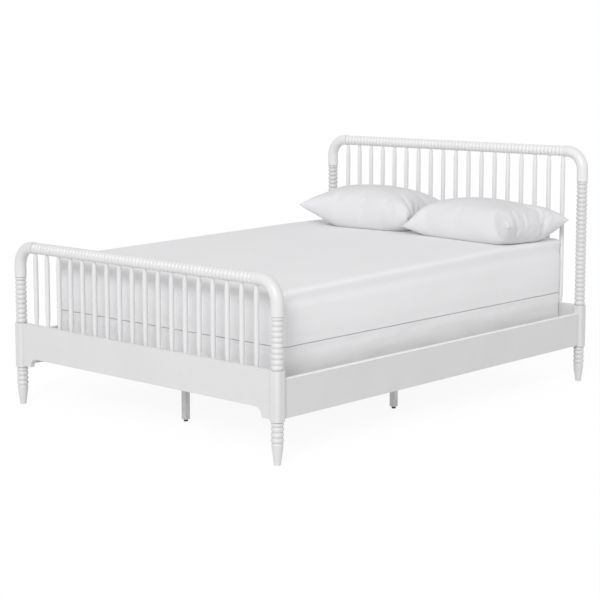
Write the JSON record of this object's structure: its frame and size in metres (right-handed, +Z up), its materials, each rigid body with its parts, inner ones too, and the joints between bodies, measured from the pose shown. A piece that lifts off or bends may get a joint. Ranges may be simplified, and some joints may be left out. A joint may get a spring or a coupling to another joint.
{
  "type": "spindle bed",
  "caption": "Wooden bed frame with beaded posts and rails, slender turned spindles in headboard and footboard, side rails, slats and centre legs, made up with box spring, mattress and pillows.",
  "frame": {"origin": "on the floor, midway between the four posts", "axes": "+X to the right as seen from the foot end, +Y from the foot to the head, +Z up"},
  "size_m": [1.6186, 2.1526, 1.1233],
  "materials": {
    "white_painted_wood": "satin white paint, sprayed, with soft highlights along every bead",
    "plain_wood": "bare sanded softwood",
    "dowel_wood": "bare turned hardwood",
    "zinc_screw": "bright zinc plated steel",
    "hook_steel": "zinc plated pressed steel",
    "leg_metal": "light grey powder coat",
    "dark_plastic": "matt black moulded plastic",
    "box_spring_cover": "white woven ticking drawn tight over a wood and spring base",
    "fitted_sheet": "smooth white cotton fitted sheet",
    "pillow_cover": "smooth white cotton pillow case"
  },
  "bodies": {
    "frame": {"cleat_screws": "zinc_screw", "corner_dowels": "dowel_wood", "footboard_elbow_left": "white_painted_wood", "footboard_elbow_right": "white_painted_wood", "footboard_panel": "white_painted_wood", "footboard_post_left": "white_painted_wood", "footboard_post_right": "white_painted_wood", "footboard_spindles": "white_painted_wood", "footboard_top_rail": "white_painted_wood", "headboard_elbow_left": "white_painted_wood", "headboard_elbow_right": "white_painted_wood", "headboard_panel": "white_painted_wood", "headboard_post_left": "white_painted_wood", "headboard_post_right": "white_painted_wood", "headboard_spindles": "white_painted_wood", "headboard_top_rail": "white_painted_wood", "hook_plate_screws": "zinc_screw", "leg_end_plugs": "dark_plastic", "leg_mount_plates": "leg_metal", "leg_plate_screws": "zinc_screw", "panel_dowels": "dowel_wood", "post_hook_sockets": "hook_steel", "rail_cleat_left": "plain_wood", "rail_cleat_right": "plain_wood", "rail_hook_plates": "hook_steel", "side_rail_left": "white_painted_wood", "side_rail_right": "white_painted_wood", "slat_foot": "plain_wood", "slat_head": "plain_wood", "slat_middle": "plain_wood", "slat_screws": "zinc_screw", "support_leg_foot": "leg_metal", "support_leg_head": "leg_metal", "support_leg_middle_left": "leg_metal", "support_leg_middle_right": "leg_metal"},
    "box_spring": {"box_spring": "box_spring_cover"},
    "mattress": {"mattress": "fitted_sheet"},
    "pillow_left": {"pillow_left": "pillow_cover"},
    "pillow_right": {"pillow_right": "pillow_cover"},
    "leveler_foot": {"leveler_foot": "dark_plastic"},
    "leveler_head": {"leveler_head": "dark_plastic"},
    "leveler_middle_left": {"leveler_middle_left": "dark_plastic"},
    "leveler_middle_right": {"leveler_middle_right": "dark_plastic"}
  },
  "joints": [
    {"name": "box_spring_lift", "type": "slide", "parent": "frame", "child": "box_spring", "axis": [0, -0.0995, 0.995], "range_m": [0, 0.52]},
    {"name": "mattress_lift", "type": "slide", "parent": "box_spring", "child": "mattress", "axis": [0, -0.0995, 0.995], "range_m": [0, 0.32]},
    {"name": "pillow_left_lift", "type": "slide", "parent": "mattress", "child": "pillow_left", "axis": [0, 0, 1], "range_m": [0, 0.3]},
    {"name": "pillow_right_lift", "type": "slide", "parent": "mattress", "child": "pillow_right", "axis": [0, 0, 1], "range_m": [0, 0.3]},
    {"name": "leveler_foot_screw", "type": "slide", "parent": "frame", "child": "leveler_foot", "axis": [0, 0, -1], "range_m": [0, 0.009]},
    {"name": "leveler_head_screw", "type": "slide", "parent": "frame", "child": "leveler_head", "axis": [0, 0, -1], "range_m": [0, 0.009]},
    {"name": "leveler_middle_left_screw", "type": "slide", "parent": "frame", "child": "leveler_middle_left", "axis": [0, 0, -1], "range_m": [0, 0.009]},
    {"name": "leveler_middle_right_screw", "type": "slide", "parent": "frame", "child": "leveler_middle_right", "axis": [0, 0, -1], "range_m": [0, 0.009]}
  ]
}
